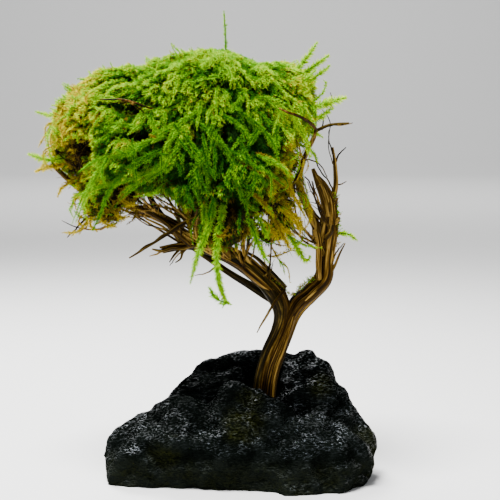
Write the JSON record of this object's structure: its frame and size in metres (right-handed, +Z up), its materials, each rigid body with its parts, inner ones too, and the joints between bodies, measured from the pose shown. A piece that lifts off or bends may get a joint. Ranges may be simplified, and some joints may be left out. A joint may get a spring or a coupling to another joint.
{
  "type": "aquarium moss tree",
  "caption": "Small aquarium tree: a forked driftwood trunk set in a rough black stone, with a wide crown of hanging green moss.",
  "frame": {"origin": "centre of the stone's flat underside", "axes": "+Z up along the tree's height; +X towards the upright limb on the right; +Y to the back as seen from the front"},
  "size_m": [0.1425, 0.0813, 0.191],
  "materials": {
    "stone": "wet, finely wrinkled black rock with a little olive algae",
    "driftwood": "ridged, waterlogged brown driftwood",
    "moss": "feathery green moss"
  },
  "bodies": {
    "root": {"stone": "stone", "trunk": "driftwood", "left_limb": "driftwood", "lower_left_limb": "driftwood", "left_crown_branch": "driftwood", "middle_crown_branch": "driftwood", "front_crown_branch": "driftwood", "right_limb": "driftwood", "inner_branch": "driftwood", "top_twig": "driftwood", "side_twig": "driftwood", "long_twig": "driftwood", "spike_twig": "driftwood", "moss_canopy": "moss", "side_moss_tuft": "moss"}
  },
  "joints": []
}
